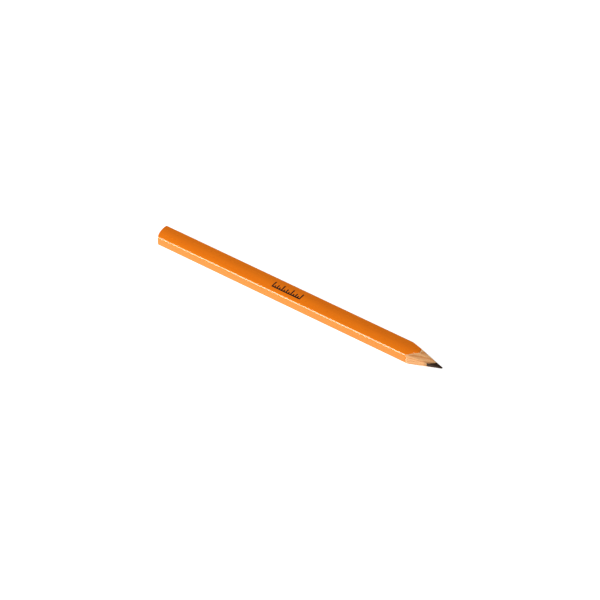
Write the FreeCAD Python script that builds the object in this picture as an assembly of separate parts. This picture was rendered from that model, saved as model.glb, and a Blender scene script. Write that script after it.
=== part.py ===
"""A flat carpenter pencil, lacquered and cut to a point with a knife.

Two grooved slats of soft wood are glued together round a flat bar of fired graphite and clay.
The sandwich is milled to a flat section: the broad faces have a narrow flat land down the
middle and fall away a little towards their edges, and the narrow sides are plain.  It gets
three thin coats: a pale undercoat, the colour, and a clear gloss coat.  A
small scale is hot stamped into the clear coat.  Both ends are cut after lacquering, so the
butt shows every layer, and the knife cuts of the point run through all of them.

Frame, in millimetres: +X along the pencil towards the point, +Z up.  The pencil lies on a
broad face, and the origin is on the resting surface under the middle of its length and width.
"""

import FreeCAD, Part
import math
import os

# Driving dimensions of the finished pencil.
LENGTH = 178.0
WIDTH = 11.0
THICKNESS = 6.0
LAND = 3.6           # width of the flat land down the middle of a broad face
CROWN = 0.3          # how far a broad face falls from the land to its edges
EDGE_RADIUS = 0.9    # rounding of the four long edges
BUTT_RADIUS = 17.6   # the butt is trimmed to an upright cylinder this wide
BUTT_PEAK_Y = 3.0    # where across the width the trimmed butt reaches furthest

# Coats, from the outside in.
CLEAR_COAT = 0.05
COLOUR_COAT = 0.10
UNDERCOAT = 0.06
COATS = CLEAR_COAT + COLOUR_COAT + UNDERCOAT

# The lead and the glue that holds it and the slats.
LEAD_WIDTH = 5.0
LEAD_THICKNESS = 2.0
LEAD_EDGE = 0.2      # rounding of the lead's long edges
LEAD_BED = 0.05      # glue between the lead and its groove
GLUE_LINE = 0.08     # glue between the slats

# The stamped scale: a bar along the foot of a row of ticks.
SCALE_CENTRE_X = -5.7
SCALE_CENTRE_Y = -0.2
SCALE_LENGTH = 18.0
SCALE_HEIGHT = 4.4
SCALE_BAR = 0.9
TICK_COUNT = 13
TICK_WIDTH = 0.75
TICK_RISE = (1.0, 0.45, 0.7, 0.45)   # share of the scale's height, repeated along it

# The knife cuts of the point.  Each has the way it faces round the axis (0 is +Y, 90 is up),
# how far back from the tip it runs out of the body, and how far from the axis it ends.
KNIFE_CUTS = (
    (0, 20.6, 0.30),
    (28, 21.4, 0.32),
    (58, 18.6, 0.31),
    (86, 15.6, 0.34),
    (103, 19.4, 0.12),
    (127, 19.6, 0.27),
    (152, 19.4, 0.36),
    (180, 18.4, 0.38),
    (207, 18.2, 0.38),
    (236, 17.8, 0.38),
    (262, 17.4, 0.24),
    (284, 17.0, 0.26),
    (312, 19.8, 0.30),
    (338, 20.9, 0.34),
)
# Short strokes that only dress the end of the lead.
DRESSING_CUTS = (
    (74, 5.6, 0.13),
    (168, 8.4, 0.18),
    (250, 5.4, 0.14),
    (346, 8.0, 0.16),
)

AXIS_Z = THICKNESS / 2
TIP_X = LENGTH / 2
BUTT_X = -LENGTH / 2
SPARE = 5.0          # how far cutting shapes run past the pencil

X = FreeCAD.Vector(1, 0, 0)
Z = FreeCAD.Vector(0, 0, 1)


def vector(x, y, z):
    return FreeCAD.Vector(x, y, z)


def circle_radius(chord, rise):
    """Radius of the arc that rises this far over its chord."""
    return chord * chord / (8 * rise) + rise / 2


def blank(inset):
    """The uncut pencil, with its surface taken in by inset all over its long faces."""
    half_width = WIDTH / 2 - inset
    half_land = LAND / 2
    fall_radius = circle_radius(WIDTH - LAND, CROWN) - inset
    top = THICKNESS / 2 - inset
    arc_centre = top - fall_radius

    def height(y):
        """How high the crowned face stands over the axis, at this distance from the middle."""
        return arc_centre + math.sqrt(fall_radius ** 2 - (y - half_land) ** 2)

    def point(y, z):
        return vector(BUTT_X, y, AXIS_Z + z)

    edges = []
    for z_sign in (1, -1):
        edges.append(
            Part.LineSegment(point(-half_land, z_sign * top), point(half_land, z_sign * top))
        )
        for y_sign in (1, -1):
            between = (half_land + half_width) / 2
            edges.append(
                Part.Arc(
                    point(y_sign * half_land, z_sign * top),
                    point(y_sign * between, z_sign * height(between)),
                    point(y_sign * half_width, z_sign * height(half_width)),
                )
            )
    for y_sign in (1, -1):
        side = y_sign * half_width
        edges.append(
            Part.LineSegment(point(side, -height(half_width)), point(side, height(half_width)))
        )
    outline = Part.Wire(Part.sortEdges([edge.toShape() for edge in edges])[0])
    prism = Part.Face(outline).extrude(X * LENGTH)
    corner_edges = [
        edge for edge in prism.Edges
        if abs(edge.BoundBox.XLength - LENGTH) < 1e-6
        and abs(abs(edge.BoundBox.Center.y) - half_width) < 1e-6
    ]
    return prism.makeFillet(EDGE_RADIUS - inset, corner_edges)


def bar(half_width, z_low, z_high):
    """A full-length bar across the axis, for grooves, leads and halves."""
    return Part.makeBox(
        LENGTH, 2 * half_width, z_high - z_low, vector(BUTT_X, -half_width, z_low)
    )


def butt_cutter():
    """What the trimmer takes off the butt: everything outside a wide upright cylinder."""
    height = THICKNESS + 2 * SPARE
    block = Part.makeBox(
        BUTT_RADIUS + SPARE, WIDTH + 2 * SPARE, height,
        vector(BUTT_X - SPARE, -WIDTH / 2 - SPARE, -SPARE),
    )
    drum_axis = vector(BUTT_X + BUTT_RADIUS, BUTT_PEAK_Y, -SPARE)
    return block.cut(Part.makeCylinder(BUTT_RADIUS, height, drum_axis, Z))


def reach_of_body(angle):
    """Distance from the axis to the body's surface, the way a cut faces."""
    turn = math.radians(angle)
    flat_y = WIDTH / 2 - EDGE_RADIUS
    flat_z = THICKNESS / 2 - EDGE_RADIUS
    return flat_y * abs(math.cos(turn)) + flat_z * abs(math.sin(turn)) + EDGE_RADIUS


def knife_cutter(angle, length, blunt):
    """The wood that one stroke takes away: a wedge above a plane that falls to the tip."""
    slope = (reach_of_body(angle) - blunt) / length
    far = WIDTH + SPARE

    def on_plane(from_tip):
        return vector(TIP_X - from_tip, blunt + slope * from_tip, -far)

    front = on_plane(-SPARE)
    back = on_plane(length + 2 * SPARE)
    outline = Part.makePolygon(
        [front, back, vector(back.x, far, -far), vector(front.x, far, -far), front]
    )
    wedge = Part.Face(outline).extrude(Z * 2 * far)
    wedge.rotate(vector(0, 0, 0), X, angle)
    wedge.translate(Z * AXIS_Z)
    return wedge


def finish_ends(shape, cutters):
    """Trims the butt and cuts the point, and drops any scrap that a cut leaves."""
    for cutter in cutters:
        shape = max(shape.cut(cutter).Solids, key=lambda solid: solid.Volume)
    return shape


def scale_outline():
    """The stamped scale seen from above, as one upright comb that passes through the body."""
    left = SCALE_CENTRE_X - SCALE_LENGTH / 2
    foot = SCALE_CENTRE_Y - SCALE_HEIGHT / 2
    comb = Part.makeBox(
        SCALE_LENGTH, SCALE_BAR, THICKNESS, vector(left, foot, AXIS_Z)
    )
    pitch = (SCALE_LENGTH - TICK_WIDTH) / (TICK_COUNT - 1)
    ticks = [
        Part.makeBox(
            TICK_WIDTH, SCALE_HEIGHT * TICK_RISE[i % len(TICK_RISE)], THICKNESS,
            vector(left + i * pitch, foot, AXIS_Z),
        )
        for i in range(TICK_COUNT)
    ]
    return comb.fuse(ticks).removeSplitter()


def coats(cutters):
    """The three coats and the stamped scale, as shells one inside the other."""
    outside = blank(0)
    under_clear = blank(CLEAR_COAT)
    under_colour = blank(CLEAR_COAT + COLOUR_COAT)
    wood = blank(COATS)
    clear_shell = outside.cut(under_clear)
    comb = scale_outline()
    return {
        "clear_coat": finish_ends(clear_shell.cut(comb), cutters),
        "colour_coat": finish_ends(under_clear.cut(under_colour), cutters),
        "undercoat": finish_ends(under_colour.cut(wood), cutters),
        "stamped_scale": clear_shell.common(comb).Solids[0],
    }


def lead_bar():
    """The lead as it is extruded and fired, with its long edges a little rounded."""
    lead = bar(LEAD_WIDTH / 2, AXIS_Z - LEAD_THICKNESS / 2, AXIS_Z + LEAD_THICKNESS / 2)
    long_edges = [
        edge for edge in lead.Edges
        if abs(edge.BoundBox.XLength - LENGTH) < 1e-6
    ]
    return lead.makeFillet(LEAD_EDGE, long_edges)


def core(cutters):
    """The slats, the lead and the glue between them."""
    wood = blank(COATS)
    lead = lead_bar()
    groove_half = LEAD_WIDTH / 2 + LEAD_BED
    groove_low = AXIS_Z - LEAD_THICKNESS / 2 - LEAD_BED
    groove_high = AXIS_Z + LEAD_THICKNESS / 2 + LEAD_BED
    groove = bar(groove_half, groove_low, groove_high)
    glue_low = AXIS_Z - GLUE_LINE / 2
    glue_high = AXIS_Z + GLUE_LINE / 2
    glue_width = WIDTH / 2 - COATS - groove_half
    bed = groove.cut(lead)

    def slat_glue(y_low):
        return Part.makeBox(LENGTH, glue_width, GLUE_LINE, vector(BUTT_X, y_low, glue_low))

    pieces = {
        "lower_slat": wood.common(bar(WIDTH, -SPARE, glue_low)).cut(groove),
        "upper_slat": wood.common(bar(WIDTH, glue_high, THICKNESS + SPARE)).cut(groove),
        "slat_glue_far": slat_glue(groove_half),
        "slat_glue_near": slat_glue(-groove_half - glue_width),
        "lead_core": lead,
        "lead_bed_lower": bed.common(bar(WIDTH, -SPARE, AXIS_Z)),
        "lead_bed_upper": bed.common(bar(WIDTH, AXIS_Z, THICKNESS + SPARE)),
    }
    return {name: finish_ends(shape, cutters) for name, shape in pieces.items()}


def main():
    os.makedirs("parts", exist_ok=True)
    cutters = [knife_cutter(*stroke) for stroke in KNIFE_CUTS + DRESSING_CUTS]
    cutters.append(butt_cutter())
    parts = core(cutters)
    parts.update(coats(cutters))
    for name, shape in parts.items():
        shape.exportStep(os.path.join("parts", name + ".step"))
        box = shape.BoundBox
        print(
            name, "valid", shape.isValid(), "volume", round(shape.Volume, 2),
            "x", round(box.XMin, 2), round(box.XMax, 2),
            "y", round(box.YMin, 2), round(box.YMax, 2),
            "z", round(box.ZMin, 2), round(box.ZMax, 2),
        )


main()
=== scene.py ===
# %% [markdown]
# # A carpenter pencil, drawn from its end
#
# A pencil is the same all the way along: slice it anywhere and the slice shows the same picture
# of paint, wood, glue and lead.  Only the two ends differ, where a saw and a knife stopped.  So
# this script draws that picture once, as a flat face seen from the end, gives each region of it
# to its own piece, and pushes every region out to full length.  The two cuts then only slide
# points of the end faces along the pencil, and neighbouring pieces stay in touch everywhere.

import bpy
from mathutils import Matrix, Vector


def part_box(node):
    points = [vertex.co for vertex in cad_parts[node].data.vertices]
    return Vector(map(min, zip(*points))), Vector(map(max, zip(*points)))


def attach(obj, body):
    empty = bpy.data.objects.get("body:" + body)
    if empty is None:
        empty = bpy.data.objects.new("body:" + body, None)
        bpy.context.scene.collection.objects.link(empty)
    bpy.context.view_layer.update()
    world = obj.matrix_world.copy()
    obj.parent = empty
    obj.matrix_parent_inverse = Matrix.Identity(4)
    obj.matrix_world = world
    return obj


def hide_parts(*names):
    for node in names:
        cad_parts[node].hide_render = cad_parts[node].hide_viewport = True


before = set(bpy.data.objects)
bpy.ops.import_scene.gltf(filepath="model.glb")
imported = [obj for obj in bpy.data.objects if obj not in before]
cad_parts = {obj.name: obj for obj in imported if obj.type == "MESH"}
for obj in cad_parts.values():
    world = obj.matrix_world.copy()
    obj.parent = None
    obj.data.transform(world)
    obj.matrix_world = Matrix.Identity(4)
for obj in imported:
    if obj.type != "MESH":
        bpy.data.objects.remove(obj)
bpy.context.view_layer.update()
print("nodes in the frame:", sorted(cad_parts))

# %% [markdown]
# ## Sizes
#
# Everything that can be read from the frame is read from it.  What a box can't tell, such as the
# crown or the knife strokes, is stated here with the design's own numbers.  The frame is in
# metres, and a pencil's layers are hundredths of a millimetre thick, so the drawing is done in
# millimetres and shrunk once at the end of each piece.

# %% Sizes in millimetres
import math

import bmesh
import bpy
from mathutils import Matrix, Vector, noise


def in_mm(vector):
    return Vector(vector) * 1000


low, high = (in_mm(corner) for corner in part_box("clear_coat"))
lead_low, lead_high = (in_mm(corner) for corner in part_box("lead_core"))
butt_x, tip_x = low.x, lead_high.x
half_width = high.y
thickness = high.z
axis_z = thickness / 2
groove_low = in_mm(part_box("lead_bed_lower")[0])
groove_high = in_mm(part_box("lead_bed_upper")[1])
glue_low, glue_high = (in_mm(corner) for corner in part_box("slat_glue_near"))
wood_half_width = in_mm(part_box("upper_slat")[1]).y
colour_half_width = in_mm(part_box("undercoat")[1]).y

lacquer_thick = half_width - colour_half_width
undercoat_thick = colour_half_width - wood_half_width
print("section", round(2 * half_width, 2), "by", round(thickness, 2))
print("lacquer", round(lacquer_thick, 3), "undercoat", round(undercoat_thick, 3))

# %% [markdown]
# ## The outline of the section
#
# The planer leaves a flat land down the middle of each broad face and lets it fall away towards
# the edges, which are rounded.  In the drawing that is a rectangle whose corners are bevelled.
# A bisect, which cuts every face that its plane crosses and here throws nothing away, then
# divides it into narrow upright strips, and the ends of the strips are lifted by the crown.

# %% Draw the outline and divide it into strips
LAND = 3.6
CROWN = 0.3
EDGE_RADIUS = 0.9
GRID = 0.12
GRID_CLEAR = 0.3 * GRID      # a grid line closer than this to a kept line is left out
MERGE = 1e-5                 # a cut this close to a point goes through it

# Across the width, the foot of the stamped scale, the top of its bar and the tops of its ticks.
SCALE_FOOT, BAR_TOP = -2.4, -1.5
SHORT_TOP, MIDDLE_TOP, LONG_TOP = -0.42, 0.68, 2.0

side_height = thickness - 2 * CROWN
section = bmesh.new()
upright = Matrix((
    (0, 0, 1, butt_x),
    (2 * half_width, 0, 0, 0),
    (0, side_height, 0, axis_z),
    (0, 0, 0, 1),
))
bmesh.ops.create_grid(section, x_segments=1, y_segments=1, size=0.5, matrix=upright)
bmesh.ops.bevel(
    section, geom=section.verts[:], offset=EDGE_RADIUS, affect="VERTICES",
    segments=10, profile=0.5, material=-1,
)


def cut_section(point, normal):
    bmesh.ops.bisect_plane(
        section, geom=section.verts[:] + section.edges[:] + section.faces[:],
        plane_co=point, plane_no=normal, dist=MERGE,
    )


def spaced(first, last, kept):
    """A fine grid between two limits, which gives way to the lines that must be kept."""
    count = round((last - first) / GRID)
    grid = [first + (last - first) * i / count for i in range(1, count)]
    return list(kept) + [g for g in grid if all(abs(g - k) > GRID_CLEAR for k in kept)]


y_borders = (
    lead_low.y, lead_high.y, groove_low.y, groove_high.y,
    SCALE_FOOT, BAR_TOP, SHORT_TOP, MIDDLE_TOP, LONG_TOP,
)
for y in spaced(low.y, high.y, y_borders):
    cut_section((0, y, 0), (0, 1, 0))
print("strips:", len(section.faces))

# %% Lift the strips by the crown
fall_run = half_width - LAND / 2
fall_radius = fall_run ** 2 / (2 * CROWN) + CROWN / 2


def crown_lift(y):
    """How far the broad face stands over its own edges, at this distance from the middle."""
    past_land = max(abs(y) - LAND / 2, 0)
    return CROWN - (fall_radius - math.sqrt(fall_radius ** 2 - past_land ** 2))


for vert in section.verts:
    share = (vert.co.z - axis_z) / (side_height / 2)
    vert.co.z += share * crown_lift(vert.co.y)
print("height in the middle:", round(max(v.co.z for v in section.verts), 3))

# %% [markdown]
# ## The coats
#
# Each coat follows the outline at an even depth, which is what an inset does.  The strips are
# inset as one region, so only their common outline moves.  The first inset leaves a ring as wide
# as the colour and its clear coat together, the second a thinner ring for the undercoat, and
# what is left in the middle is wood.  A number stored on each face says whose it is, and every
# later cut keeps that number.

# %% Inset the coats
PIECES = (
    "lacquer", "undercoat", "slat_upper", "slat_lower", "glue_near", "glue_far",
    "bed_upper", "bed_lower", "lead",
)
owner = section.faces.layers.int.new("owner")
wood = section.faces[:]
for face in wood:
    face[owner] = PIECES.index("slat_upper")
for name, depth in (("lacquer", lacquer_thick), ("undercoat", undercoat_thick)):
    ring = bmesh.ops.inset_region(
        section, faces=wood, thickness=depth, use_even_offset=True, use_boundary=True
    )["faces"]
    for face in ring:
        face[owner] = PIECES.index(name)
print("faces after the coats:", len(section.faces))

# %% [markdown]
# ## The knife cuts
#
# A carpenter's point is a handful of long strokes.  Each stroke is close to a plane that falls
# towards the tip, so it is enough to know which way it faces round the pencil, how far back it
# runs out, and how close to the middle it ends.  Where two strokes meet there is a ridge, and
# seen from the end a ridge between planes is a straight line.

# %% List the strokes
STROKES = (
    (0, 20.6, 0.30), (28, 21.4, 0.32), (58, 18.6, 0.31), (86, 15.6, 0.34), (103, 19.4, 0.12),
    (127, 19.6, 0.27), (152, 19.4, 0.36), (180, 18.4, 0.38), (207, 18.2, 0.38),
    (236, 17.8, 0.38), (262, 17.4, 0.24), (284, 17.0, 0.26), (312, 19.8, 0.30),
    (338, 20.9, 0.34),
)
DRESSING = ((74, 5.6, 0.13), (168, 8.4, 0.18), (250, 5.4, 0.14), (346, 8.0, 0.16))


def stroke_plane(angle, length, blunt):
    """(unit vector it faces, distance from the axis at the tip, rise per millimetre)."""
    turn = math.radians(angle)
    faces = Vector((0, math.cos(turn), math.sin(turn)))
    body_reach = (
        (half_width - EDGE_RADIUS) * abs(faces.y)
        + (axis_z - EDGE_RADIUS) * abs(faces.z)
        + EDGE_RADIUS
    )
    return faces, blunt, (body_reach - blunt) / length


planes = [stroke_plane(*stroke) for stroke in STROKES]
dressing_planes = [stroke_plane(*stroke) for stroke in DRESSING]


def ridge_between(one, other):
    """The line in the section where two strokes meet: (a point on it, its normal)."""
    across = one[0] / one[2] - other[0] / other[2]
    offset = one[1] / one[2] - other[1] / other[2]
    return Vector((0, 0, axis_z)) + across * (offset / across.length_squared), across


ridges = [ridge_between(planes[i - 1], planes[i]) for i in range(len(planes))]
print(len(planes), "strokes and", len(dressing_planes), "to dress the lead")

# %% [markdown]
# ## Cut the picture up
#
# The strips are now cut with more straight lines, like pastry: along the borders of the groove,
# the lead and the glue, along the ridges, and across by a fine grid.  The grid gives the two
# end faces enough points to carry knife marks and torn fibres.

# %% Cut along borders, ridges and a fine grid
LEAD_EASE = 0.12     # the lead's long edges are eased by this much

z_borders = (lead_low.z, lead_high.z, groove_low.z, groove_high.z, glue_low.z, glue_high.z, axis_z)
for z in spaced(low.z, high.z, z_borders):
    cut_section((0, 0, z), (0, 0, 1))
for point, across in ridges:
    cut_section(point, across)
for y_sign in (1, -1):
    for z_sign in (1, -1):
        corner = Vector((0, y_sign * lead_high.y, axis_z + z_sign * (lead_high.z - axis_z)))
        cut_section(corner - Vector((0, y_sign, z_sign)) * (LEAD_EASE / 2), (0, y_sign, z_sign))
print("faces in the section:", len(section.faces))

# %% [markdown]
# ## Share out the middle
#
# The two rings already know their piece.  For the rest, the centre of each little face says
# whether it lies in the lead, in the bed of glue round it, in the glue between the slats, or in
# one of the slats.

# %% Give each face its owner


def inner_owner(y, z):
    y_out, z_out = abs(y), abs(z - axis_z)
    lead_y, lead_z = lead_high.y, lead_high.z - axis_z
    eased = (lead_y - y_out) + (lead_z - z_out) > LEAD_EASE
    if y_out < lead_y and z_out < lead_z and eased:
        return "lead"
    if y_out < groove_high.y and z_out < groove_high.z - axis_z:
        return "bed_upper" if z > axis_z else "bed_lower"
    if z_out < glue_high.z - axis_z:
        return "glue_far" if y > 0 else "glue_near"
    return "slat_upper" if z > axis_z else "slat_lower"


for face in section.faces:
    if face[owner] == PIECES.index("slat_upper"):
        centre = face.calc_center_median()
        face[owner] = PIECES.index(inner_owner(centre.y, centre.z))
for index, name in enumerate(PIECES):
    print(name, sum(face[owner] == index for face in section.faces), "faces")

# %% [markdown]
# ## Where the knife stopped
#
# For any place in the section, the point reaches as far forward as the deepest stroke lets it.
# A hand-held knife leaves more than flat planes: a stroke hollows the wood a little, chatters
# along its length, and pulls at the fibres.  Each of those only takes more away, so the pencil
# stays inside its drawn size.  They all depend on the place in the section alone, which keeps
# the layers flush with each other.

# %% Work out the cut at the point
HOLLOW = 0.035       # depth of the hollow that a stroke leaves across its width
HOLLOW_REACH = 1.6   # how far the hollow spreads each way from the middle of the stroke
CHATTER = 0.022      # depth of the ripples along a stroke
CHATTER_LENGTH = 2.7
CHATTER_SHIFT = 1.7  # how far, as an angle, the ripples of the next stroke are shifted
MARKS_FADE = 4       # hollow and ripples fade out over this much of the tip
FIBRE = 0.10         # how far, along the pencil, pulled fibres differ
FIBRE_FADE = 3       # pulled fibres fade out over this much of the tip


def cut_depth(plane, number, y, z):
    """How far back from the tip one stroke has cut, at this place in the section."""
    faces, blunt, rise = plane
    out = faces.y * y + faces.z * (z - axis_z)
    along_face = faces.y * (z - axis_z) - faces.z * y
    back = (out - blunt) / rise
    if back <= 0:
        return 0.0
    fade_in = min(back / MARKS_FADE, 1)
    hollow = HOLLOW * math.cos(min(abs(along_face) / HOLLOW_REACH, 1) * math.pi / 2)
    wave = 0.5 + 0.5 * math.sin(2 * math.pi * back / CHATTER_LENGTH + number * CHATTER_SHIFT)
    return back + fade_in * (hollow + CHATTER * wave) / rise


def fibre_pull(y, z):
    """How far back a fibre is pulled, at this place in the section."""
    fine = noise.noise(Vector((y * 5.1, z * 5.1, 3.7)))
    coarse = noise.noise(Vector((y * 1.6, z * 1.6, 8.2)))
    return FIBRE * (1 + fine + 0.8 * coarse)


def knife_x(y, z):
    """Where along the pencil the point's surface lies, at this place in the section."""
    depths = [cut_depth(plane, number, y, z) for number, plane in enumerate(planes)]
    for faces, blunt, rise in dressing_planes:
        depths.append(max((faces.y * y + faces.z * (z - axis_z) - blunt) / rise, 0))
    back = max(depths)
    return tip_x - back - min(back / FIBRE_FADE, 1) * fibre_pull(y, z)


for y, z in ((0, axis_z), (2.4, axis_z), (-2.4, axis_z), (0, thickness - 0.1)):
    print("at", (y, z), "the point reaches", round(knife_x(y, z), 2))

# %% [markdown]
# Paint is brittle, so at the edge of the cut it flakes off a little further back than the wood
# does, and the undercoat shows in the gaps.

# %% Work out how the coats chip
CHIPS = {"lacquer": 0.9, "undercoat": 0.35}   # the largest chip in each coat


def chip(name, y, z):
    """How far a coat has broken back from the cut, at this place in the section."""
    coarse = noise.noise(Vector((y * 1.9, z * 1.9, 6.1)))
    fine = noise.noise(Vector((y * 6, z * 6, 2)))
    return CHIPS.get(name, 0) * min(max(coarse + 0.4 * fine, 0), 1)


print("largest chips, in mm:", CHIPS)

# %% [markdown]
# ## Where the trimmer stopped
#
# The butt is trimmed after painting, by a wheel that leaves the end gently rounded across its
# width, a little out of square, and marked by fine scores.  The end grain stands a little proud
# of the softer wood between, so it gets a fine, shallow unevenness of its own.

# %% Work out the cut at the butt
BUTT_RADIUS = 17.6
BUTT_PEAK_Y = 3.0    # where across the width the butt reaches furthest
SCORE = 0.012        # half the depth of the fine scores
GRAIN = 0.012        # half the unevenness of the end grain


def trimmed_x(y, z):
    """Where along the pencil the butt's surface lies, at this place in the section."""
    round_off = BUTT_RADIUS - math.sqrt(BUTT_RADIUS ** 2 - (y - BUTT_PEAK_Y) ** 2)
    scores = SCORE * (1 + math.sin(y * 9 + z * 2.1 + 1.5 * noise.noise(Vector((y, z, 0)))))
    grain = GRAIN * (1 + noise.noise(Vector((y * 3.3, z * 3.3, 5.0))))
    return butt_x + round_off + scores + grain


print("the near side is shorter by", round(trimmed_x(low.y, axis_z) - trimmed_x(high.y, axis_z), 2))

# %% [markdown]
# ## Push each region out to full length
#
# An extrude of the region, which keeps the flat face it started from, makes a closed piece: a
# bar for wood and lead, a tube for a coat.  The kept face is the butt and the pushed-out face
# is the point.  Its normals are recalculated once, because the face that was kept looks the
# wrong way.


# %% Make a closed piece from one region
def full_length(name):
    bm = section.copy()
    layer = bm.faces.layers.int["owner"]
    others = [face for face in bm.faces if face[layer] != PIECES.index(name)]
    bmesh.ops.delete(bm, geom=others, context="FACES")
    butt_verts = bm.verts[:]
    pushed = bmesh.ops.extrude_face_region(bm, geom=bm.faces[:], use_keep_orig=True)["geom"]
    point_verts = [item for item in pushed if isinstance(item, bmesh.types.BMVert)]
    for vert in point_verts:
        y, z = vert.co.yz
        vert.co.x = knife_x(y, z) - chip(name, y, z)
    for vert in butt_verts:
        vert.co.x = trimmed_x(vert.co.y, vert.co.z)
    bmesh.ops.recalc_face_normals(bm, faces=bm.faces[:])
    return bm


shapes = {name: full_length(name) for name in PIECES}
for name, bm in shapes.items():
    open_edges = sum(not edge.is_manifold for edge in bm.edges)
    print(name, len(bm.faces), "faces,", open_edges, "open edges,",
          round(bm.calc_volume(), 2), "cubic mm")

# %% [markdown]
# ## The stamped scale
#
# A hot die presses a black foil into the lacquer, so the mark is a shallow recess with foil at
# the bottom of it.  The strips of the upper face are cut across at both sides of each tick, the
# little faces that fall inside the comb are pushed down together, and the foil is a thin plate
# grown from a copy of the recess floor.

# %% Press the scale into the lacquer
scale_low, scale_high = (in_mm(corner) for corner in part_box("stamped_scale"))
TICK_COUNT = 13
TICK_WIDTH = 0.75
TICK_TOPS = (LONG_TOP, SHORT_TOP, MIDDLE_TOP, SHORT_TOP)   # repeated along the scale
PRESS_DEPTH = 0.035
FOIL_THICK = 0.018
OUTER_SKIN = 0.08            # strips whose centre is this close to the top are on the outside

pitch = (scale_high.x - scale_low.x - TICK_WIDTH) / (TICK_COUNT - 1)
tick_starts = [scale_low.x + i * pitch for i in range(TICK_COUNT)]


def in_scale(x, y):
    """True where the die has metal: in the bar along the foot, or in one of the ticks."""
    if not (scale_low.x < x < scale_high.x and SCALE_FOOT < y < LONG_TOP):
        return False
    if y < BAR_TOP:
        return True
    return any(
        start < x < start + TICK_WIDTH and y < TICK_TOPS[i % len(TICK_TOPS)]
        for i, start in enumerate(tick_starts)
    )


def upper_face_strips(bm):
    """The faces of the upper outside that lie level with the scale."""
    return [
        face for face in bm.faces
        if face.normal.z > 0.9 and face.calc_center_median().z > thickness - OUTER_SKIN
        and SCALE_FOOT < face.calc_center_median().y < LONG_TOP
    ]


lacquer = shapes["lacquer"]
mark = lacquer.faces.layers.int.new("mark")
lacquer.normal_update()
for start in tick_starts:
    for x in (start, start + TICK_WIDTH):
        strips = upper_face_strips(lacquer)
        touched = list({edge for face in strips for edge in face.edges})
        corners = list({vert for face in strips for vert in face.verts})
        bmesh.ops.bisect_plane(
            lacquer, geom=corners + touched + strips,
            plane_co=(x, 0, 0), plane_no=(1, 0, 0), dist=MERGE,
        )
pressed = [
    face for face in upper_face_strips(lacquer)
    if in_scale(face.calc_center_median().x, face.calc_center_median().y)
]
down = bmesh.ops.extrude_face_region(lacquer, geom=pressed)["geom"]
floor_verts = [item for item in down if isinstance(item, bmesh.types.BMVert)]
floor_faces = [item for item in down if isinstance(item, bmesh.types.BMFace)]
bmesh.ops.translate(lacquer, verts=floor_verts, vec=(0, 0, -PRESS_DEPTH))
bmesh.ops.delete(lacquer, geom=[face for face in pressed if face.is_valid], context="FACES")
for face in floor_faces:
    face[mark] = 1
print("pressed faces:", len(floor_faces), "open edges:",
      sum(not edge.is_manifold for edge in lacquer.edges))

# %% Lay the foil in the recess
foil = lacquer.copy()
mark = foil.faces.layers.int["mark"]
bmesh.ops.delete(foil, geom=[face for face in foil.faces if not face[mark]], context="FACES")
raised = bmesh.ops.extrude_face_region(foil, geom=foil.faces[:], use_keep_orig=True)["geom"]
raised_verts = [item for item in raised if isinstance(item, bmesh.types.BMVert)]
bmesh.ops.translate(foil, verts=raised_verts, vec=(0, 0, FOIL_THICK))
bmesh.ops.recalc_face_normals(foil, faces=foil.faces[:])
shapes["foil"] = foil
print("foil:", len(foil.faces), "faces, open edges:", sum(not e.is_manifold for e in foil.edges))

# %% [markdown]
# ## From drawings to objects
#
# Each shape is shrunk to metres, becomes a mesh with smooth shading that stops at its real
# corners, and rides on the pencil's one body in place of the plain solid that it stands for.
# Smooth shading averages the directions of neighbouring faces, so a long strip that meets a cut
# end at a shallow angle would be shaded as if it leaned over all its length.  Every edge between
# an end face and a wall is therefore marked sharp, however shallow it is.

# %% Make the objects
STANDS_FOR = {
    "lacquer": (("clear_coat", "colour_coat"), "orange_lacquer"),
    "undercoat": (("undercoat",), "undercoat"),
    "slat_upper": (("upper_slat",), "slat_wood"),
    "slat_lower": (("lower_slat",), "slat_wood"),
    "glue_near": (("slat_glue_near",), "white_glue"),
    "glue_far": (("slat_glue_far",), "white_glue"),
    "bed_upper": (("lead_bed_upper",), "white_glue"),
    "bed_lower": (("lead_bed_lower",), "white_glue"),
    "lead": (("lead_core",), "lead"),
    "foil": (("stamped_scale",), "stamping_foil"),
}
SHARP_ANGLE = math.radians(20)
END_LEAN = 0.02      # a wall looks square to the pencil's axis, an end face leans along it


def mark_corners(bm):
    """Smooths every face, and marks as sharp each edge where smooth shading has to stop."""
    for face in bm.faces:
        face.smooth = True
    for edge in bm.edges:
        sides = {abs(face.normal.x) > END_LEAN for face in edge.link_faces}
        edge.smooth = len(sides) == 1 and edge.calc_face_angle(math.pi) < SHARP_ANGLE


def make_object(name, bm):
    bmesh.ops.scale(bm, vec=(0.001, 0.001, 0.001), verts=bm.verts[:])
    bm.normal_update()
    mark_corners(bm)
    mesh = bpy.data.meshes.new(name)
    bm.to_mesh(mesh)
    bm.free()
    piece = bpy.data.objects.new(name, mesh)
    bpy.context.scene.collection.objects.link(piece)
    nodes, slot = STANDS_FOR[name]
    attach(piece, "root")
    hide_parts(*nodes)
    return piece


pencil = {name: make_object(name, bm) for name, bm in shapes.items()}
section.free()
print({name: len(piece.data.polygons) for name, piece in pencil.items()})

# %% [markdown]
# ## Shader maths that reads as maths
#
# A finish is a small program made of nodes.  Written out node by node it is long and hard to
# follow, so a wire here knows its own node tree, and adding or multiplying wires adds the Math
# nodes.  Everything that isn't plain arithmetic comes from one method.


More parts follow.
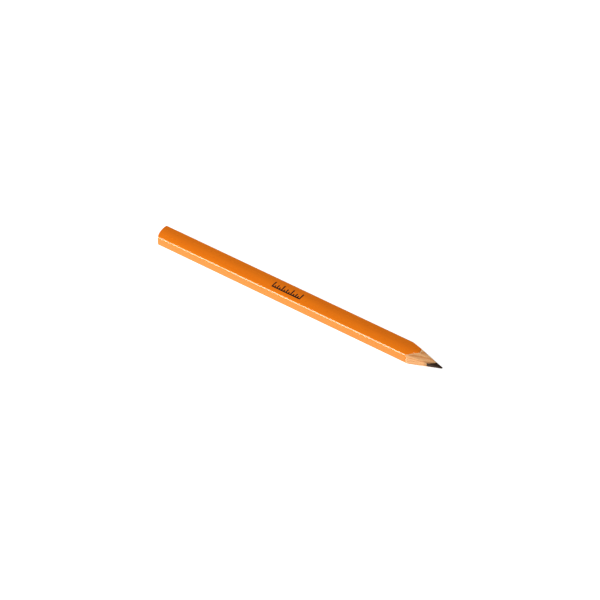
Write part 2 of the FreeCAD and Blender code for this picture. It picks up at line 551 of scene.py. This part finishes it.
# %% A wire and a finish
class Wire:
    """One output of a node.  Arithmetic on wires adds Math nodes."""

    def __init__(self, finish, socket):
        self.finish, self.socket = finish, socket

    def maths(self, operation, left, right):
        return self.finish.node("ShaderNodeMath", {"operation": operation}, {0: left, 1: right})

    def __add__(self, other):
        return self.maths("ADD", self, other)

    def __sub__(self, other):
        return self.maths("SUBTRACT", self, other)

    def __rsub__(self, other):
        return self.maths("SUBTRACT", other, self)

    def __mul__(self, other):
        return self.maths("MULTIPLY", self, other)

    def __truediv__(self, other):
        return self.maths("DIVIDE", self, other)

    def __pow__(self, other):
        return self.maths("POWER", self, other)

    __radd__, __rmul__ = __add__, __mul__


class Finish:
    """A material in the making."""

    def __init__(self, name):
        self.material = bpy.data.materials.new(name)
        self.material.use_nodes = True
        self.tree = self.material.node_tree
        self.tree.nodes.clear()
        self.place = self.node("ShaderNodeTexCoord", output="Object")

    def node(self, kind, settings=None, sockets=None, output=0):
        """Adds a node: its settings first, then the values or wires of its sockets."""
        made = self.tree.nodes.new(kind)
        for name, value in (settings or {}).items():
            setattr(made, name, value)
        for key, value in (sockets or {}).items():
            if isinstance(value, Wire):
                self.tree.links.new(value.socket, made.inputs[key])
            else:
                made.inputs[key].default_value = value
        return None if output is None else Wire(self, made.outputs[output])


print("a finish starts from Object coordinates, in metres")

# %% [markdown]
# ## A few tools that every finish needs
#
# Patterns are sized in millimetres: a Mapping node turns metres into cycles of the pattern, with
# its own number for each direction, so the same noise can be a cloud, a streak or a dot.
# Colours are given as they look on a screen and turned into the shader's linear numbers here.


# %% Tools for patterns and colours
def tone(red, green, blue):
    """A colour as seen on a screen, 0 to 255, as the linear colour that a shader takes."""
    def linear(value):
        share = value / 255
        return share / 12.92 if share <= 0.04045 else ((share + 0.055) / 1.055) ** 2.4
    return (linear(red), linear(green), linear(blue), 1)


def stretched(finish, per_mm, shift=(0, 0, 0)):
    """Object coordinates with this many pattern cycles per millimetre along X, Y and Z."""
    return finish.node(
        "ShaderNodeMapping", {"vector_type": "POINT"},
        {"Vector": finish.place, "Location": shift, "Scale": tuple(c * 1000 for c in per_mm)},
    )


def cloud(finish, per_mm, shift=(0, 0, 0), detail=2.0, roughness=0.5):
    """Soft noise between 0 and 1."""
    return finish.node(
        "ShaderNodeTexNoise", None,
        {"Vector": stretched(finish, per_mm, shift), "Scale": 1.0, "Detail": detail,
         "Roughness": roughness},
    )


def ease(finish, value, start, end):
    """0 below start, 1 above end, and a smooth step between; start may be the larger."""
    return finish.node(
        "ShaderNodeMapRange", {"interpolation_type": "SMOOTHSTEP"},
        {0: value, 1: start, 2: end, 3: 0.0, 4: 1.0},
    )


def blend(finish, mask, under, over):
    """One colour over another, where the mask is 1."""
    return finish.node(
        "ShaderNodeMix", {"data_type": "RGBA"}, {0: mask, 6: under, 7: over}, output=2
    )


def axis(finish, letter):
    """One object coordinate, in millimetres."""
    split = finish.node("ShaderNodeSeparateXYZ", None, {0: finish.place}, output=letter)
    return split * 1000


def absolute(finish, value):
    """The value without its sign."""
    return finish.node("ShaderNodeMath", {"operation": "ABSOLUTE"}, {0: value})


def bumped(finish, height, depth_mm, under=None):
    """A normal that rises by depth_mm where height is 1."""
    sockets = {"Height": height, "Strength": 1.0, "Distance": depth_mm / 1000}
    if under is not None:
        sockets["Normal"] = under
    return finish.node("ShaderNodeBump", None, sockets)


def coat_on(finish, pieces, **sockets):
    """Ends a finish in a Principled shader and puts it on the pieces."""
    named = {name.replace("_", " "): value for name, value in sockets.items()}
    surface = finish.node("ShaderNodeBsdfPrincipled", None, named)
    finish.node("ShaderNodeOutputMaterial", None, {"Surface": surface}, output=None)
    for piece in pieces:
        piece.data.materials.clear()
        piece.data.materials.append(finish.material)


print("white is", tone(255, 255, 255))

# %% [markdown]
# ## Orange lacquer
#
# Pencil lacquer goes on in several thin dips, so it is even in colour and glossy, but it still
# shows the wood under it as faint long ripples, and it dries with a very fine orange peel.  The
# long edges get thinner coats and more handling, so they are a touch lighter and duller.  The
# film is fullest along the middle of each face, and a broad, weak bump gives it that swell.  All
# of the gloss comes from the clear coat on top, and the colour under it has none of its own.

# %% Make the orange lacquer
ORANGE = tone(242, 125, 12)
ORANGE_DEEP = tone(235, 114, 9)
ORANGE_THIN = tone(247, 138, 22)
SWELL = 0.24         # how much fuller the film looks along the middle of a face
SWELL_REACH = 4.4    # how far from the middle the swell has died away

f = Finish("orange_lacquer")
ripple = cloud(f, (0.035, 1.9, 1.9), detail=3, roughness=0.6)
pooling = cloud(f, (0.05, 0.22, 0.22), (4, 2, 7))
peel = cloud(f, (1.1, 1.3, 1.3), detail=1)
scuff = cloud(f, (0.12, 3.4, 3.4), (9, 1, 4), detail=4, roughness=0.7)
out_y = absolute(f, axis(f, "Y"))
out_z = absolute(f, axis(f, "Z") - axis_z)
corner = out_y / half_width + out_z / axis_z
edge_rub = ease(f, corner + 0.16 * scuff, 1.70, 1.86)
colour = blend(f, pooling, ORANGE, ORANGE_DEEP)
colour = blend(f, ripple * 0.22, colour, ORANGE_THIN)
colour = blend(f, edge_rub * 0.35, colour, ORANGE_THIN)
coat_on(
    f, [pencil["lacquer"]],
    Base_Color=colour,
    Roughness=0.34 + 0.10 * ripple + 0.12 * edge_rub,
    Normal=bumped(
        f, 0.75 * ripple + 0.25 * peel + 0.10 * scuff, 0.008,
        under=bumped(f, ease(f, out_y, SWELL_REACH, 0.0), SWELL),
    ),
    Specular_IOR_Level=0.0,
    Coat_Weight=1.0, Coat_Roughness=0.13, Coat_IOR=1.5,
)
print("lacquer done")

# %% [markdown]
# ## Bare wood
#
# Pencil wood is straight grained.  Its growth rings are shells round the middle of a far bigger
# trunk, so in the section they are gently curved bands, on the long cuts they stretch into
# streaks and pointed arches, and on the butt they show as end grain.  One pattern in solid
# space gives all of that: the distance from a trunk axis well outside the pencil, bent a little
# by noise.  Each slat has its own axis, because it comes from another board.  A freshly cut
# surface is full of open fibres that scatter light evenly, so its diffuse roughness is full.
# Close to the lead the knife has rubbed graphite dust into the grain.


# %% Make the wood
WOOD_PALE = tone(240, 194, 134)
WOOD_RING = tone(214, 138, 70)
WOOD_FIBRE = tone(198, 108, 40)
WOOD_SMUDGE = tone(74, 60, 50)


def make_wood(name, piece, trunk_y, trunk_z, ring_mm, shift):
    """Puts wood on a slat, given its trunk's axis, the width of its rings and a noise shift."""
    f = Finish(name)
    y, z = axis(f, "Y"), axis(f, "Z")
    sway = cloud(f, (0.02, 0.12, 0.12), shift, detail=3)
    from_y, from_z = y - trunk_y, z - trunk_z
    trunk = (from_y * from_y + from_z * from_z) ** 0.5
    rings = f.node("ShaderNodeMath", {"operation": "FRACT"}, {0: trunk / ring_mm + 1.6 * sway})
    late = ease(f, rings, 0.35, 0.92) * ease(f, rings, 1.0, 0.93)
    fibre = cloud(f, (0.10, 6.0, 6.0), shift, detail=4, roughness=0.65)
    pores = ease(f, cloud(f, (0.22, 4.2, 4.2), (3, 5, 1), detail=2), 0.66, 0.76)
    mottle = cloud(f, (0.09, 0.5, 0.5), shift, detail=2)
    past_lead_y = absolute(f, y) - lead_high.y
    past_lead_z = absolute(f, z - axis_z) - (lead_high.z - axis_z)
    to_lead = f.node("ShaderNodeMath", {"operation": "MAXIMUM"}, {0: past_lead_y, 1: past_lead_z})
    dust = ease(f, to_lead + 0.5 * fibre, 0.75, 0.15) * (0.3 + 0.5 * mottle)
    colour = blend(f, late * 0.75, WOOD_PALE, WOOD_RING)
    colour = blend(f, ease(f, fibre, 0.42, 0.72) * 0.60, colour, WOOD_FIBRE)
    colour = blend(f, mottle * 0.25, colour, WOOD_RING)
    colour = blend(f, pores * 0.55, colour, WOOD_FIBRE)
    colour = blend(f, dust, colour, WOOD_SMUDGE)
    coat_on(
        f, [piece],
        Base_Color=colour,
        Roughness=0.72 - 0.14 * late + 0.10 * fibre,
        Normal=bumped(f, fibre * 0.8 + late * 0.35 - pores * 0.6, 0.03),
        IOR=1.45, Diffuse_Roughness=1.0,
    )


make_wood(
    "slat_wood_upper", pencil["slat_upper"],
    trunk_y=-7.0, trunk_z=-24.0, ring_mm=1.15, shift=(2, 7, 3),
)
make_wood(
    "slat_wood_lower", pencil["slat_lower"],
    trunk_y=11.0, trunk_z=-19.0, ring_mm=0.95, shift=(8, 1, 6),
)
print("wood done")

# %% [markdown]
# ## Lead
#
# Pencil lead is graphite and clay, pressed through a die and fired.  Cut with a knife it is
# nearly black, with fine scratches along the stroke and a weak metallic sheen, brightest where
# the blade burnished it.  Its colour turns a warm brown along the scratches and the broader
# burnished patches.  That brown is partly wood dust and partly painted sheen: a reflection of
# the wood around the lead, painted into the colour.  Relief follows the scratches, and metallic
# sheen and roughness follow the burnished patches.

# %% Make the lead
LEAD_DARK = tone(26, 17, 11)
# a warm brown, partly wood dust and partly a painted reflection of the wood round the lead
LEAD_DUST_AND_PAINTED_SHEEN = tone(88, 60, 40)

f = Finish("lead")
scratch = cloud(f, (0.35, 7.0, 7.0), detail=4, roughness=0.7)
burnish = cloud(f, (0.25, 0.8, 0.8), (5, 3, 2))
grit = cloud(f, (5.0, 5.0, 5.0), detail=3)
coat_on(
    f, [pencil["lead"]],
    # painted sheen, partly wood dust: the colour lightens to warm brown along scratches and burnish
    Base_Color=blend(f, scratch * 0.45 + 0.35 * burnish - 0.1, LEAD_DARK, LEAD_DUST_AND_PAINTED_SHEEN),
    Metallic=0.10 + 0.20 * burnish,
    Roughness=0.52 - 0.22 * burnish + 0.12 * grit,
    Normal=bumped(f, 0.7 * scratch + 0.3 * grit, 0.02),
    Specular_IOR_Level=0.25,
)
print("lead done")

# %% [markdown]
# ## Undercoat and glue
#
# The undercoat is a chalky filler that shows as a pale line between wood and colour.  Wood glue
# dries amber and half clear, and takes up dust from the cut.  Both are only seen as thin lines,
# so their patterns are fine.

# %% Make the undercoat and the glue
f = Finish("undercoat")
chalk = cloud(f, (1.2, 3.0, 3.0), detail=3)
coat_on(
    f, [pencil["undercoat"]],
    Base_Color=blend(f, chalk, tone(244, 214, 168), tone(226, 186, 132)),
    Roughness=0.75 + 0.15 * chalk,
    Normal=bumped(f, chalk, 0.012),
)

f = Finish("white_glue")
lumps = cloud(f, (0.5, 2.4, 2.4), detail=3)
dusty = ease(f, cloud(f, (0.8, 1.5, 1.5), (6, 6, 1)), 0.5, 0.8)
coat_on(
    f, [pencil[name] for name in ("glue_near", "glue_far", "bed_upper", "bed_lower")],
    Base_Color=blend(
        f, dusty * 0.6, blend(f, lumps, tone(206, 160, 104), tone(168, 118, 66)), tone(96, 78, 62)
    ),
    Roughness=0.45 + 0.2 * lumps,
    Normal=bumped(f, lumps, 0.01),
    IOR=1.48,
)
print("undercoat and glue done")

# %% [markdown]
# ## Stamping foil
#
# Hot stamping leaves a thin satin black film with a fine grain, and it misses a few specks,
# where the orange shows.

# %% Make the foil
f = Finish("stamping_foil")
print_grain = cloud(f, (2.2, 3.0, 3.0), detail=4, roughness=0.65)
missed = ease(f, cloud(f, (1.4, 2.4, 2.4), (2, 9, 4), detail=4), 0.70, 0.76)
coat_on(
    f, [pencil["foil"]],
    Base_Color=blend(
        f, missed * 0.7, blend(f, print_grain, tone(10, 9, 9), tone(24, 21, 19)), ORANGE_DEEP
    ),
    Roughness=0.30 + 0.25 * print_grain,
    Normal=bumped(f, print_grain, 0.006),
)
print("foil done")

# %% [markdown]
# ## Floor and light
#
# The pencil lies on a white studio floor.  A glossy orange face looks flat without something to
# reflect, so the light is placed for its reflection: one large soft box stands before the near
# side, towards the butt and a little lower than the camera.  It lights the near side more than
# the top, and its mirror image falls on the rounded upper edge as a thin bright line.  The floor
# is bright of its own, like a light table, and fills the near side from below.

# %% Floor
FLOOR_SIZE = 12      # metres from the middle to an edge
FLOOR_GAP = 0.02     # millimetres under the pencil
FLOOR_GLOW = 0.92
floor_mesh = bpy.data.meshes.new("floor")
floor_bm = bmesh.new()
bmesh.ops.create_grid(floor_bm, x_segments=1, y_segments=1, size=FLOOR_SIZE)
floor_bm.to_mesh(floor_mesh)
floor_bm.free()
floor = bpy.data.objects.new("floor", floor_mesh)
floor.location.z = -FLOOR_GAP / 1000
bpy.context.scene.collection.objects.link(floor)

f = Finish("studio_floor")
paper = cloud(f, (0.02, 0.02, 0.02), detail=2)
coat_on(
    f, [floor],
    Base_Color=blend(f, paper, (0.46, 0.46, 0.46, 1), (0.48, 0.48, 0.48, 1)),
    Roughness=0.9,
    Emission_Color=(1, 1, 1, 1),
    Emission_Strength=FLOOR_GLOW,
    Specular_IOR_Level=0.0,
)
print("floor done")

# %% Lights
MIDDLE = Vector((0, 0, axis_z / 1000))
WORLD_GLOW = 0.08


def soft_box(name, towards, distance, width, height, power):
    """An oblong soft light that looks at the middle of the pencil."""
    lamp = bpy.data.lights.new(name, "AREA")
    lamp.shape, lamp.size, lamp.size_y, lamp.energy = "RECTANGLE", width, height, power
    holder = bpy.data.objects.new(name, lamp)
    holder.location = MIDDLE + Vector(towards).normalized() * distance
    holder.rotation_euler = (MIDDLE - holder.location).to_track_quat("-Z", "Y").to_euler()
    holder.visible_camera = False
    bpy.context.scene.collection.objects.link(holder)


soft_box(
    "key_box", towards=(-0.44, -0.68, 0.59), distance=1.5, width=0.70, height=1.20, power=34
)
world = bpy.data.worlds.new("studio")
world.use_nodes = True
background = world.node_tree.nodes["Background"]
background.inputs["Color"].default_value = (1, 1, 1, 1)
background.inputs["Strength"].default_value = WORLD_GLOW
bpy.context.scene.world = world
bpy.context.scene.view_settings.view_transform = "Standard"
print("lights done")

# %% [markdown]
# ## Camera
#
# A long lens from over a metre away looks down on the near side from beyond the point's end, so
# the pencil recedes towards its butt.

# %% Camera
ELEVATION = math.radians(41.45)
TURN = math.radians(35.69)
DISTANCE = 1.1515    # metres
LENS = 134.4         # millimetres, on a sensor 36 mm wide
SHIFT_X, SHIFT_Y = 0.0051, -0.0017
camera = bpy.data.objects.new("camera", bpy.data.cameras.new("camera"))
camera.data.sensor_width = 36
camera.data.lens = LENS
camera.data.shift_x, camera.data.shift_y = SHIFT_X, SHIFT_Y
back = Vector((
    math.sin(TURN) * math.cos(ELEVATION),
    -math.cos(TURN) * math.cos(ELEVATION),
    math.sin(ELEVATION),
))
camera.location = MIDDLE + back * DISTANCE
camera.rotation_euler = (-back).to_track_quat("-Z", "Y").to_euler()
bpy.context.scene.collection.objects.link(camera)
bpy.context.scene.camera = camera
print("camera at", [round(c, 3) for c in camera.location])
